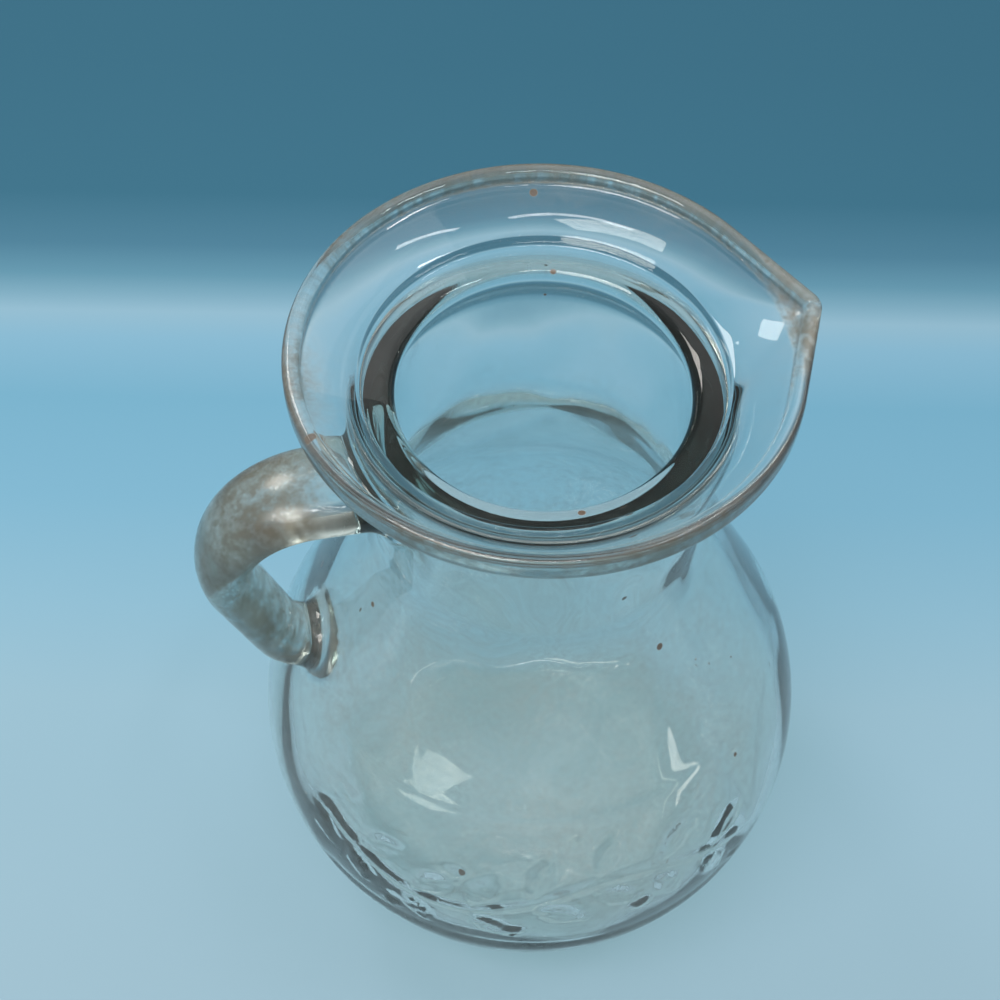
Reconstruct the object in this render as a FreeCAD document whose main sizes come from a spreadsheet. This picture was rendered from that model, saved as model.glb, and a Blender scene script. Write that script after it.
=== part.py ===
"""Glass pitcher of about one litre: a pear-shaped bulb, a drawn-in neck, a dished rim with a
stepped lid seat and a pinched pouring lip, and an ear handle opposite the lip.

Frame: millimetres, +Z up, origin on the axis at the level the foot stands on. The lip points
along +X, the handle along -X, and XZ is the plane of symmetry. The pitcher is one piece of glass.
"""
import FreeCAD, Part
import Sketcher
import math
import os

Vector = FreeCAD.Vector
START, END, CENTRE = 1, 2, 3      # the point numbers that sketch constraints use
HORIZONTAL, VERTICAL = -1, -2     # the sketch axes; the first one's start is the origin

# Driving dimensions, in millimetres and degrees. Heights are above the floor.
DRIVING = {
    "rim_height": 186.0,            # top of the rim
    "rim_diameter": 104.0,          # across the round part of the rim
    "wall": 4.0,                    # glass thickness of neck, shoulder and bulb
    "bulb_centre_height": 52.0,     # the bulb's widest level
    "bulb_arc_radius": 64.0,        # the bulb's side, drawn about a point off the axis
    "bulb_arc_offset": 2.7,         # that point's distance from the axis
    "foot_corner_radius": 8.0,      # from the bulb's side to the floor
    "foot_ring_width": 4.0,         # the flat ring that touches the floor
    "punt_height": 3.0,             # rise of the hollow under the base
    "base_thickness": 7.0,          # floor to the inside bottom
    "base_corner_radius": 14.0,     # inside, at the bottom
    "shoulder_angle": 26.0,         # slope of the shoulder from the vertical
    "shoulder_fillet": 26.0,        # hollow curve from the shoulder to the neck
    "neck_diameter": 73.0,          # outside
    "neck_top_height": 161.0,       # where the neck starts to flare to the rim
    "flare_power": 3.5,             # how late the flare opens
    "rim_band_height": 5.6,         # the rim's rounded edge, top to bottom
    "rim_band_width": 3.6,          # the same edge seen from above
    "rim_rounding": 1.7,            # of that edge's corners
    "dish_depth": 3.1,              # rim top to the outer edge of the dish
    "seat_diameter": 75.6,          # edge of the lid seat
    "seat_depth": 8.4,              # rim top to that edge
    "throat_diameter": 60.4,        # narrowest way through
    "throat_depth": 14.8,           # rim top to the narrowest level
    "throat_rounding": 3.0,         # of the throat's lip
    "undercut_angle": 30.0,         # slope of the throat's underside from the vertical
    "undercut_fillet": 6.0,         # hollow curve from there to the neck's inside
    "lip_reach": 5.4,               # how far the tip stands out past the round rim
    "lip_tip_radius": 4.6,          # of the tip, seen from above
    "handle_top_height": 151.5,     # centre of the upper limb
    "handle_low_height": 96.0,      # centre of the lower limb where it meets the shoulder
    "handle_reach": 69.8,           # axis of the pitcher to the centre of the grip
    "handle_top_bend": 20.0,        # centre-line radius above the grip
    "handle_low_bend": 13.0,        # centre-line radius below the grip
    "handle_low_inset": 3.3,        # how far inside the shoulder's face the lower bend ends
    "handle_thickness": 12.4,       # in the plane of symmetry
    "handle_root_width": 24.0,      # across, at the neck
    "handle_end_width": 15.5,       # across, at the shoulder
    "handle_root_depth": 6.5,       # how far both ends run on into the vessel before the cavity
    "handle_root_fillet": 4.0,      # where the limbs meet the wall
    "cutter_margin": 1.0,           # how far the cavity's cutters run out past the rim
}

# Sizes that follow from the driving ones, as the sheet's own formulas.
DERIVED = {
    "rim_radius": "rim_diameter / 2",
    "rim_tip_reach": "rim_radius + lip_reach",
    "rim_low_radius": "rim_radius - rim_rounding",
    "lip_cosine": "(rim_radius - lip_tip_radius) / (rim_tip_reach - lip_tip_radius)",
    "neck_radius": "neck_diameter / 2",
    "neck_inner_radius": "neck_radius - wall",
    "bulb_inner_radius": "bulb_arc_radius - wall",
    "shoulder_inner_fillet": "shoulder_fillet + wall",
    "flare_top_height": "rim_height - rim_band_height",
    "dish_edge_height": "rim_height - dish_depth",
    "dish_radius": "rim_radius - rim_band_width",
    "dish_tip_radius": "lip_tip_radius - rim_band_width",
    "dish_tip_reach": "rim_tip_reach - rim_band_width",
    "seat_radius": "seat_diameter / 2",
    "seat_height": "rim_height - seat_depth",
    "throat_radius": "throat_diameter / 2",
    "throat_height": "rim_height - throat_depth",
    "cutter_top_height": "rim_height + cutter_margin",
    "shoulder_parting_radius": "bulb_arc_offset + bulb_arc_radius * cos(shoulder_angle * 1 deg)",
    "shoulder_parting_height": "bulb_centre_height + bulb_arc_radius * sin(shoulder_angle * 1 deg)",
    "handle_seat_radius": "shoulder_parting_radius"
                          " - (handle_low_height - shoulder_parting_height)"
                          " * tan(shoulder_angle * 1 deg)",
    "handle_turn_across": "handle_seat_radius - handle_low_inset",
    "handle_top_end": "neck_radius - handle_root_depth",
    "handle_low_end": "handle_turn_across - handle_root_depth",
}

FLARE_LEVELS = 5                  # outlines that the flare is lofted through, above the neck
SEAM_HALF_ANGLE = 3.0             # degrees: short arcs stand in for the flanks on a round outline

doc = FreeCAD.newDocument("GlassPitcher")


def make_sheet():
    """The spreadsheet that drives every sketch and feature."""
    sheet = doc.addObject("Spreadsheet::Sheet", "Sizes")
    cells = [(alias, str(value)) for alias, value in DRIVING.items()]
    cells += [(alias, "=" + formula) for alias, formula in DERIVED.items()]
    for row, (alias, content) in enumerate(cells, start=1):
        sheet.set(f"A{row}", alias.replace("_", " "))
        sheet.set(f"B{row}", content)
        sheet.setAlias(f"B{row}", alias)
        doc.recompute()
    return sheet


sheet = make_sheet()


def size(alias):
    """A dimension as the sheet holds it."""
    return float(getattr(sheet, alias))


def add_sketch(body, name, role, offset=None):
    """A sketch on one of the body's own origin planes, or parallel to it at a driven offset."""
    sketch = body.newObject("Sketcher::SketchObject", name)
    plane = [item for item in body.Origin.OriginFeatures if item.Role == role][0]
    sketch.AttachmentSupport = [(plane, "")]
    sketch.MapMode = "FlatFace"
    if offset is not None:
        sketch.setExpression("AttachmentOffset.Base.z", offset)
    return sketch


def add_line(sketch, first, last):
    """A straight edge."""
    return sketch.addGeometry(Part.LineSegment(first, last), False)


def add_arc(sketch, centre, radius, first_angle, last_angle):
    """An arc run anticlockwise between two angles, in radians."""
    circle = Part.Circle(centre, Vector(0, 0, 1), radius)
    return sketch.addGeometry(Part.ArcOfCircle(circle, first_angle, last_angle), False)


def join(sketch, first, first_end, last, last_end, kind="Coincident"):
    """Two ends that meet: at a corner, or smoothly when kind is Tangent."""
    sketch.addConstraint(Sketcher.Constraint(kind, first, first_end, last, last_end))


def drawn_value(sketch, kind, places):
    """The value that a new measured constraint already has in the drawn geometry."""
    if kind == "Radius":
        return sketch.Geometry[places[0]].Radius
    if kind in ("Angle", "Distance"):
        line = sketch.Geometry[places[0]]
        run = line.EndPoint - line.StartPoint
        return run.Length if kind == "Distance" else math.atan2(run.y, run.x)
    ends = [sketch.getPoint(places[i], places[i + 1]) for i in range(0, len(places), 2)]
    gap = ends[-1] - (ends[0] if len(ends) > 1 else Vector(0, 0, 0))
    return gap.x if kind == "DistanceX" else gap.y


def drive(sketch, expression, kind, *places):
    """A measured constraint that an expression over the sheet drives."""
    value = drawn_value(sketch, kind, places)
    index = sketch.addConstraint(Sketcher.Constraint(kind, *places, value))
    sketch.setExpression(f"Constraints[{index}]", expression)


def pin(sketch, geometry, point, across, up):
    """Fix a point by its driven distances from the sketch origin; None keeps it on that axis."""
    for kind, expression, axis in (("DistanceX", across, VERTICAL), ("DistanceY", up, HORIZONTAL)):
        if expression is None:
            sketch.addConstraint(Sketcher.Constraint("PointOnObject", geometry, point, axis))
        else:
            drive(sketch, expression, kind, geometry, point)


def add_wall(sketch, level, corner, bulb, fillet):
    """One face of the wall, from a level bottom up to the neck, each stretch smooth to the next.

    corner, bulb and fillet are the aliases of its three radii. Returns the numbers of the first
    and last arcs and the two free ends.
    """
    lean = math.radians(size("shoulder_angle"))
    outward = Vector(math.cos(lean), math.sin(lean), 0)
    bulb_centre = Vector(size("bulb_arc_offset"), size("bulb_centre_height"), 0)
    # the outside face decides where the hollow curve's centre lies, for both faces
    hollow_across = size("neck_radius") + size("shoulder_fillet")
    parting = bulb_centre + outward * size("bulb_arc_radius")
    rise = (size("shoulder_fillet") - (hollow_across - parting.x) * outward.x) / outward.y
    hollow_centre = Vector(hollow_across, parting.y + rise, 0)
    # the corner rolls inside the bulb and on the level bottom
    reach = size(bulb) - size(corner)
    drop = bulb_centre.y - level - size(corner)
    across = math.sqrt(reach ** 2 - drop ** 2)
    corner_centre = Vector(bulb_centre.x + across, level + size(corner), 0)
    roll = math.atan2(-drop, across)

    first = add_arc(sketch, corner_centre, size(corner), -math.pi / 2, roll)
    side = add_arc(sketch, bulb_centre, size(bulb), roll, lean)
    shoulder = add_line(sketch, bulb_centre + outward * size(bulb),
                        hollow_centre - outward * size(fillet))
    last = add_arc(sketch, hollow_centre, size(fillet), math.pi, math.pi + lean)
    join(sketch, first, END, side, START, "Tangent")
    join(sketch, side, END, shoulder, START, "Tangent")
    join(sketch, shoulder, END, last, END, "Tangent")
    drive(sketch, "Sizes." + corner, "Radius", first)
    drive(sketch, "Sizes." + bulb, "Radius", side)
    drive(sketch, "Sizes." + fillet, "Radius", last)
    drive(sketch, "90 deg + Sizes.shoulder_angle * 1 deg", "Angle", shoulder)
    pin(sketch, side, CENTRE, "Sizes.bulb_arc_offset", "Sizes.bulb_centre_height")
    bottom_end = Vector(corner_centre.x, level, 0)
    neck_end = Vector(hollow_across - size(fillet), hollow_centre.y, 0)
    return first, last, bottom_end, neck_end


def make_vessel(body):
    """Foot, bulb, shoulder and neck turned about the axis, still full of glass."""
    sketch = add_sketch(body, "VesselProfile", "XZ_Plane")
    corner, turn, foot_end, neck_low = add_wall(
        sketch, 0.0, "foot_corner_radius", "bulb_arc_radius", "shoulder_fillet")
    ring_inner = Vector(foot_end.x - size("foot_ring_width"), 0, 0)
    punt = size("punt_height")
    punt_radius = (ring_inner.x ** 2 + punt ** 2) / (2 * punt)
    punt_centre = Vector(0, punt - punt_radius, 0)
    neck_top = Vector(neck_low.x, size("neck_top_height"), 0)
    axis_top = Vector(0, neck_top.y, 0)
    ring = add_line(sketch, ring_inner, foot_end)
    hollow = add_arc(sketch, punt_centre, punt_radius,
                     math.atan2(-punt_centre.y, ring_inner.x), math.pi / 2)
    neck = add_line(sketch, neck_low, neck_top)
    top = add_line(sketch, neck_top, axis_top)
    axis = add_line(sketch, axis_top, Vector(0, punt, 0))
    join(sketch, ring, END, corner, START, "Tangent")
    join(sketch, hollow, START, ring, START)
    join(sketch, turn, START, neck, START, "Tangent")
    join(sketch, neck, END, top, START)
    join(sketch, top, END, axis, START)
    join(sketch, axis, END, hollow, END)
    sketch.addConstraint(Sketcher.Constraint("Horizontal", ring))
    sketch.addConstraint(Sketcher.Constraint("Vertical", neck))
    drive(sketch, "Sizes.foot_ring_width", "DistanceX", ring, START, ring, END)
    sketch.addConstraint(Sketcher.Constraint("PointOnObject", ring, START, HORIZONTAL))
    sketch.addConstraint(Sketcher.Constraint("PointOnObject", hollow, CENTRE, VERTICAL))
    pin(sketch, axis, END, None, "Sizes.punt_height")
    pin(sketch, axis, START, None, "Sizes.neck_top_height")
    pin(sketch, neck, END, "Sizes.neck_radius", "Sizes.neck_top_height")
    return turn_about_axis(body, "PartDesign::Revolution", "Vessel", sketch)


def make_cavity(body):
    """The inside, cut about the axis: bulb, neck, undercut, throat and the slope to the seat."""
    sketch = add_sketch(body, "CavityProfile", "XZ_Plane")
    corner, turn, bottom_end, neck_low = add_wall(
        sketch, size("base_thickness"), "base_corner_radius", "bulb_inner_radius",
        "shoulder_inner_fillet")
    slope = math.radians(size("undercut_angle"))
    inward = Vector(-math.cos(slope), -math.sin(slope), 0)
    throat_centre = Vector(size("throat_radius") + size("throat_rounding"),
                           size("throat_height"), 0)
    undercut_top = throat_centre + inward * size("throat_rounding")
    # the hollow curve between the undercut and the neck's inside
    fillet = size("undercut_fillet")
    fillet_across = neck_low.x - fillet
    rise = ((fillet_across - undercut_top.x) * inward.x - fillet) / -inward.y
    fillet_centre = Vector(fillet_across, undercut_top.y + rise, 0)
    # the straight slope from the throat's lip to the seat's edge
    seat = Vector(size("seat_radius"), size("seat_height"), 0)
    away = seat - throat_centre
    lip_angle = math.atan2(away.y, away.x) + math.acos(size("throat_rounding") / away.Length)
    lip_top = throat_centre + Vector(math.cos(lip_angle), math.sin(lip_angle), 0) * size(
        "throat_rounding")
    top = size("cutter_top_height")

    neck = add_line(sketch, neck_low, Vector(neck_low.x, fillet_centre.y, 0))
    under = add_arc(sketch, fillet_centre, fillet, 0, slope)
    undercut = add_line(sketch, fillet_centre - inward * fillet, undercut_top)
    lip = add_arc(sketch, throat_centre, size("throat_rounding"), lip_angle, math.pi + slope)
    funnel = add_line(sketch, lip_top, seat)
    mouth = add_line(sketch, seat, Vector(seat.x, top, 0))
    lid = add_line(sketch, Vector(seat.x, top, 0), Vector(0, top, 0))
    axis = add_line(sketch, Vector(0, top, 0), Vector(0, size("base_thickness"), 0))
    floor = add_line(sketch, Vector(0, size("base_thickness"), 0), bottom_end)
    join(sketch, floor, END, corner, START, "Tangent")
    join(sketch, turn, START, neck, START, "Tangent")
    join(sketch, neck, END, under, START, "Tangent")
    join(sketch, under, END, undercut, START, "Tangent")
    join(sketch, undercut, END, lip, END, "Tangent")
    join(sketch, lip, START, funnel, START, "Tangent")
    join(sketch, funnel, END, mouth, START)
    join(sketch, mouth, END, lid, START)
    join(sketch, lid, END, axis, START)
    join(sketch, axis, END, floor, START)
    drive(sketch, "Sizes.undercut_fillet", "Radius", under)
    drive(sketch, "Sizes.throat_rounding", "Radius", lip)
    drive(sketch, "90 deg + Sizes.undercut_angle * 1 deg", "Angle", undercut)
    pin(sketch, lip, CENTRE, "Sizes.throat_radius + Sizes.throat_rounding", "Sizes.throat_height")
    sketch.addConstraint(Sketcher.Constraint("Vertical", neck))
    pin(sketch, funnel, END, "Sizes.seat_radius", "Sizes.seat_height")
    pin(sketch, mouth, END, "Sizes.seat_radius", "Sizes.cutter_top_height")
    pin(sketch, axis, START, None, "Sizes.cutter_top_height")
    pin(sketch, axis, END, None, "Sizes.base_thickness")
    drive(sketch, "Sizes.base_thickness", "DistanceY", floor, END)
    drive(sketch, "Sizes.neck_inner_radius", "DistanceX", neck, END)
    return turn_about_axis(body, "PartDesign::Groove", "Cavity", sketch)


def turn_about_axis(body, kind, name, sketch):
    """A profile turned all the way round the pitcher's axis."""
    feature = body.newObject(kind, name)
    feature.Profile = sketch
    feature.ReferenceAxis = (sketch, ["V_Axis"])
    feature.Angle = 360
    doc.recompute()
    return feature


def add_round_outline(body, name, radius, height):
    """A level circle in four arcs, which match the edges of an outline with the lip."""
    sketch = add_sketch(body, name, "XY_Plane", height)
    parting = math.acos(size("lip_cosine"))
    half = math.radians(SEAM_HALF_ANGLE)
    turns = [parting + half, -parting - half, -parting + half, parting - half]
    spans = [(turns[0], 2 * math.pi + turns[1]), (turns[1], turns[2]), (turns[2], turns[3]),
             (turns[3], turns[0])]
    arcs = [add_arc(sketch, Vector(0, 0, 0), size(radius), first, last) for first, last in spans]
    for arc, following in zip(arcs, arcs[1:] + arcs[:1]):
        join(sketch, arc, END, following, START)
    for arc in arcs[:-1]:
        join(sketch, arc, CENTRE, HORIZONTAL, START)
    sketch.addConstraint(Sketcher.Constraint("Equal", arcs[0], arcs[-1]))
    drive(sketch, "Sizes." + radius, "Radius", arcs[0])
    return sketch


def add_lip_outline(body, name, height, radius, tip_radius, reach):
    """A level outline with the lip: round, two flanks and a tip, all smooth to each other.

    Each of the last three is a number and the expression that drives it.
    """
    sketch = add_sketch(body, name, "XY_Plane", height)
    parting = math.acos((radius[0] - tip_radius[0]) / (reach[0] - tip_radius[0]))
    tip_centre = Vector(reach[0] - tip_radius[0], 0, 0)
    origin = Vector(0, 0, 0)

    def rim_point(centre, around, side):
        angle = side * parting
        return centre + Vector(math.cos(angle), math.sin(angle), 0) * around

    back = add_arc(sketch, origin, radius[0], parting, 2 * math.pi - parting)
    right = add_line(sketch, rim_point(origin, radius[0], -1), rim_point(tip_centre, tip_radius[0], -1))
    tip = add_arc(sketch, tip_centre, tip_radius[0], -parting, parting)
    left = add_line(sketch, rim_point(tip_centre, tip_radius[0], 1), rim_point(origin, radius[0], 1))
    join(sketch, back, END, right, START, "Tangent")
    join(sketch, right, END, tip, START, "Tangent")
    join(sketch, tip, END, left, START, "Tangent")
    join(sketch, left, END, back, START, "Tangent")
    join(sketch, back, CENTRE, HORIZONTAL, START)
    sketch.addConstraint(Sketcher.Constraint("PointOnObject", tip, CENTRE, HORIZONTAL))
    drive(sketch, radius[1], "Radius", back)
    drive(sketch, tip_radius[1], "Radius", tip)
    drive(sketch, f"{reach[1]} - ({tip_radius[1]})", "DistanceX", tip, CENTRE)
    return sketch


def flare_share(level):
    """How far the flare has opened at a level, as a number and as an expression."""
    share = level / FLARE_LEVELS
    return share ** size("flare_power"), f"({share})^Sizes.flare_power"


def make_flare(body):
    """The flare from the neck to the underside of the rim, with the lip growing out of it."""
    neck = add_round_outline(body, "FlareNeck", "neck_radius", "Sizes.neck_top_height")
    rise = size("flare_top_height") - size("neck_top_height")
    spread = size("rim_low_radius") - size("neck_radius")
    cosine = size("lip_cosine")
    outlines = []
    for level in range(1, FLARE_LEVELS + 1):
        share, share_text = flare_share(level)
        radius = size("neck_radius") + spread * share
        reach = radius + size("lip_reach") * share
        tip_radius = (radius - reach * cosine) / (1 - cosine)
        radius_text = ("Sizes.neck_radius + (Sizes.rim_low_radius - Sizes.neck_radius)"
                       f" * {share_text}")
        reach_text = f"{radius_text} + Sizes.lip_reach * {share_text}"
        tip_text = (f"({radius_text} - ({reach_text}) * Sizes.lip_cosine)"
                    " / (1 - Sizes.lip_cosine)")
        height = ("Sizes.neck_top_height + (Sizes.flare_top_height - Sizes.neck_top_height)"
                  f" * {level} / {FLARE_LEVELS}")
        outlines.append(add_lip_outline(
            body, f"FlareLevel{level}", height,
            (radius, radius_text), (tip_radius, tip_text), (reach, reach_text)))
    flare = body.newObject("PartDesign::AdditiveLoft", "Flare")
    flare.Profile = neck
    flare.Sections = outlines
    flare.Ruled = False
    doc.recompute()
    return flare


def make_rim_band(body):
    """The thick edge round the mouth and the lip, bevelled below where the flare runs into it."""
    def outline(name, height, inset):
        names = ("rim_radius", "lip_tip_radius", "rim_tip_reach")
        driven = [(size(alias) - size("rim_rounding") * inset,
                   f"Sizes.{alias} - Sizes.rim_rounding * {inset}") for alias in names]
        return add_lip_outline(body, name, height, *driven)

    band = body.newObject("PartDesign::AdditiveLoft", "RimBand")
    band.Profile = outline("RimLow", "Sizes.flare_top_height", 1)
    band.Sections = [
        outline("RimSide", "Sizes.flare_top_height + Sizes.rim_rounding", 0),
        outline("RimTop", "Sizes.rim_height", 0)]
    band.Ruled = True
    doc.recompute()
    return band


def handle_tangent(top_centre, low_centre):
    """Angle, in radians, at which the straight grip leaves both bends, on their outer side."""
    span = low_centre - top_centre
    spread = math.acos((size("handle_top_bend") - size("handle_low_bend")) / span.Length)
    return math.atan2(span.y, span.x) - spread + 2 * math.pi


def make_handle(body):
    """The ear handle: an oval bar bent from under the rim out and down to the shoulder."""
    path = add_sketch(body, "HandlePath", "XZ_Plane")
    top_bend, low_bend = size("handle_top_bend"), size("handle_low_bend")
    top_height, low_height = size("handle_top_height"), size("handle_low_height")
    top_centre = Vector(top_bend - size("handle_reach"), top_height - top_bend, 0)
    low_centre = Vector(-size("handle_turn_across"), low_height + low_bend, 0)
    grip_angle = handle_tangent(top_centre, low_centre)
    outward = Vector(math.cos(grip_angle), math.sin(grip_angle), 0)
    upper = add_line(path, Vector(-size("handle_top_end"), top_height, 0),
                     Vector(top_centre.x, top_height, 0))
    top = add_arc(path, top_centre, top_bend, math.pi / 2, grip_angle)
    grip = add_line(path, top_centre + outward * top_bend, low_centre + outward * low_bend)
    low = add_arc(path, low_centre, low_bend, grip_angle, 3 * math.pi / 2)
    lower = add_line(path, Vector(low_centre.x, low_height, 0),
                     Vector(-size("handle_low_end"), low_height, 0))
    join(path, upper, END, top, START, "Tangent")
    join(path, top, END, grip, START, "Tangent")
    join(path, grip, END, low, START, "Tangent")
    join(path, low, END, lower, START, "Tangent")
    path.addConstraint(Sketcher.Constraint("Horizontal", upper))
    path.addConstraint(Sketcher.Constraint("Horizontal", lower))
    drive(path, "Sizes.handle_top_bend", "Radius", top)
    drive(path, "Sizes.handle_low_bend", "Radius", low)
    drive(path, "Sizes.handle_top_bend - Sizes.handle_reach", "DistanceX", top, CENTRE)
    drive(path, "-Sizes.handle_turn_across", "DistanceX", low, CENTRE)
    pin(path, upper, START, "-Sizes.handle_top_end", "Sizes.handle_top_height")
    pin(path, lower, END, "-Sizes.handle_low_end", "Sizes.handle_low_height")

    root = add_oval(body, "HandleRoot", "handle_top_end", "handle_top_height",
                    "handle_root_width")
    end = add_oval(body, "HandleEnd", "handle_low_end", "handle_low_height", "handle_end_width")
    handle = body.newObject("PartDesign::AdditivePipe", "Handle")
    handle.Profile = root
    handle.Spine = path
    handle.Transformation = "Multisection"
    handle.Sections = [end]
    doc.recompute()
    return handle


def add_oval(body, name, across, height, width):
    """An upright section of the handle, facing along X: an ellipse wider than it is thick."""
    sketch = add_sketch(body, name, "YZ_Plane", f"-Sizes.{across}")
    centre = Vector(0, size(height), 0)
    ellipse = Part.Ellipse(centre, size(width) / 2, size("handle_thickness") / 2)
    oval = sketch.addGeometry(ellipse, False)
    sketch.exposeInternalGeometry(oval)
    width_line, thickness_line = oval + 1, oval + 2
    sketch.addConstraint(Sketcher.Constraint("Horizontal", width_line))
    drive(sketch, "Sizes." + width, "Distance", width_line)
    drive(sketch, "Sizes.handle_thickness", "Distance", thickness_line)
    pin(sketch, oval, CENTRE, None, "Sizes." + height)
    return sketch


def make_dish(body):
    """The dish inside the rim: from the seat's edge out to the rim band, and up past its top."""
    seat = add_round_outline(body, "DishSeat", "seat_radius", "Sizes.seat_height")
    edges = [
        add_lip_outline(body, name, height, (size("dish_radius"), "Sizes.dish_radius"),
                        (size("dish_tip_radius"), "Sizes.dish_tip_radius"),
                        (size("dish_tip_reach"), "Sizes.dish_tip_reach"))
        for name, height in (("DishEdge", "Sizes.dish_edge_height"),
                             ("DishMouth", "Sizes.cutter_top_height"))]
    dish = body.newObject("PartDesign::SubtractiveLoft", "Dish")
    dish.Profile = seat
    dish.Sections = edges
    dish.Ruled = True
    doc.recompute()
    return dish


def add_fillet(body, name, radius, wanted):
    """A fillet on the edges of the body's tip that pass a test."""
    tip = body.Tip
    names = [f"Edge{number}" for number, edge in enumerate(tip.Shape.Edges, start=1)
             if wanted(edge)]
    fillet = body.newObject("PartDesign::Fillet", name)
    fillet.Base = (tip, names)
    fillet.setExpression("Radius", "Sizes." + radius)
    doc.recompute()
    return fillet


def is_level_at(height):
    """A test for edges that lie flat at one height."""
    def test(edge):
        box = edge.BoundBox
        return abs(box.ZMin - height) < 0.01 and abs(box.ZMax - height) < 0.01
    return test


def is_handle_root(edge):
    """A test for the seams between the handle's limbs and the neck or the shoulder."""
    lean = math.radians(size("shoulder_angle"))
    for share in (0.1, 0.4, 0.7):
        point = edge.valueAt(edge.FirstParameter
                             + share * (edge.LastParameter - edge.FirstParameter))
        radius = math.hypot(point.x, point.y)
        shoulder = (size("shoulder_parting_radius")
                    - (point.z - size("shoulder_parting_height")) * math.tan(lean))
        if abs(radius - size("neck_radius")) > 0.02 and abs(radius - shoulder) > 0.02:
            return False
    box = edge.BoundBox
    return box.XMax < 0 and box.YLength > 1 and box.ZLength > 1 and box.YLength < 2 * -box.XMax


def make_pitcher():
    """The whole vessel, one solid of glass."""
    body = doc.addObject("PartDesign::Body", "Pitcher")
    body.Label = "pitcher"
    make_vessel(body)
    make_flare(body)
    make_rim_band(body)
    make_handle(body)
    add_fillet(body, "HandleRootFillet", "handle_root_fillet", is_handle_root)
    make_cavity(body)
    make_dish(body)
    add_fillet(body, "RimRounding", "rim_rounding", is_level_at(size("rim_height")))
    return body


def check(body):
    """Stop before anything is written if the document or the solid is not sound."""
    for item in doc.Objects:
        if {"Invalid", "Error"} & set(item.State):
            raise RuntimeError(f"{item.Name} did not build: {item.State}")
    shape = body.Shape
    if shape.isNull() or not shape.isValid() or len(shape.Solids) != 1:
        raise RuntimeError(f"{body.Label} is not one sound solid")
    print(f"{body.Label}: {shape.Volume / 1000:.1f} cm3, {len(shape.Faces)} faces, "
          f"box {shape.BoundBox.XLength:.1f} x {shape.BoundBox.YLength:.1f} x "
          f"{shape.BoundBox.ZLength:.1f} mm")


pitcher = make_pitcher()
doc.recompute()
check(pitcher)
os.makedirs("parts", exist_ok=True)
pitcher.Shape.exportStep(f"parts/{pitcher.Label}.step")
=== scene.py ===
"""Visual model of a glass pitcher, on a pale floor in soft studio light.

The sizes below repeat the part's own, in millimetres; meshes are made in metres.
"""

import math

import bmesh
import bpy
import numpy as np
from mathutils import Matrix, Vector


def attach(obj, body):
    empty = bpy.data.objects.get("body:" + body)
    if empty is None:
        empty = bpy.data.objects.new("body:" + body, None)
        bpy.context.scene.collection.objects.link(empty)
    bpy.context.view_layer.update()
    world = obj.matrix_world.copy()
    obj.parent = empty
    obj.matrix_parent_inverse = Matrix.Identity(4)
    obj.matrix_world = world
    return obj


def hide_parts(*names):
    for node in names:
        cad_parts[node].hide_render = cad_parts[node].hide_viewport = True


MM = 0.001

# foot and bulb: arcs are centre across, centre up and radius
PUNT_HEIGHT = 3.0
RING_INNER, RING_OUTER = 33.3, 37.3
FOOT_CORNER = (37.3, 8.0, 8.0)
BULB = (2.7, 52.0, 64.0)
WALL = 4.0
BASE_THICKNESS = 7.0
BASE_CORNER = (36.7, 21.0, 14.0)
LEAN = 26.0                              # degrees that the shoulder leans in from upright
HOLLOW = (62.5, 134.7, 26.0)
NECK_RADIUS = 36.5
NECK_TOP = 161.0
# flare, rim and dish
FLARE_HEIGHT = 19.4
FLARE_POWER = 3.5
RIM_LOW = 50.3
RIM_RADIUS = 52.0
RIM_HEIGHT = 186.0
RIM_ROUNDING = 1.7
DISH_EDGE = (48.4, 182.9)
SEAT = (37.8, 177.6)
STEP = (37.2, 175.6)                     # a small step under the seat's edge
EDGE_ROUNDING, SEAT_ROUNDING = 0.9, 0.5
THROAT = (33.2, 171.2, 3.0)
UNDERCUT = 30.0
UNDERCUT_FILLET = (26.5, 164.8, 6.0)
LIP_REACH = 5.4
LIP_TIP_RADIUS = 4.6
LIP_COSINE = (RIM_RADIUS - LIP_TIP_RADIUS) / (RIM_RADIUS + LIP_REACH - LIP_TIP_RADIUS)
# handle
HANDLE_TOP = (-49.8, 131.5, 20.0)
HANDLE_LOW = (-49.15, 109.0, 13.0)
HANDLE_ROOT = -33.5
GRIP_ANGLE = 199.78
LOW_END_ANGLE = 256.0
HANDLE_HALF_THICK = 6.19
HANDLE_ROOT_WIDTH, HANDLE_END_WIDTH = 24.0, 15.5
HANDLE_RUN_ON = (14.0, 10.0)             # how far the bar's form runs on inside the wall
ROOT_FILLET = 5.0
ROOT_FRONT, ROOTS_LOW, ROOTS_HIGH = -20, 70, 166
ROOT_SLACK = 0.2                         # how far inside the wall a point still counts as on it
ROOT_PASSES = 8

# points round the axis, with twice as many between the two relief heights, and round the bar
COLUMNS = 226
LIP_CROWDING = 0.7
RELIEF_LOW, RELIEF_HIGH = 39.0, 89.0
FLARE_ROWS, FLARE_SPREAD = 22, 0.7
HANDLE_SIDES = 72

# unevenness of pressed glass: inside, where it shows most, outside, at the mouth, at the bottom
UNEVEN_INSIDE, UNEVEN_OUTSIDE, UNEVEN_MOUTH, UNEVEN_BOTTOM = 0.75, 0.12, 0.03, 0.11
# its waves: strength, number round the glass, change with height, and start
WAVES = [(1.0, 2, 0.055, 1.3), (0.9, 3, -0.07, 2.1), (0.6, 5, 0.12, 0.4),
         (0.45, 8, -0.05, 2.8), (0.22, 13, 0.16, 4.4), (0.12, 21, -0.11, 0.9)]
WAVES_TOP = 2.4
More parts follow.
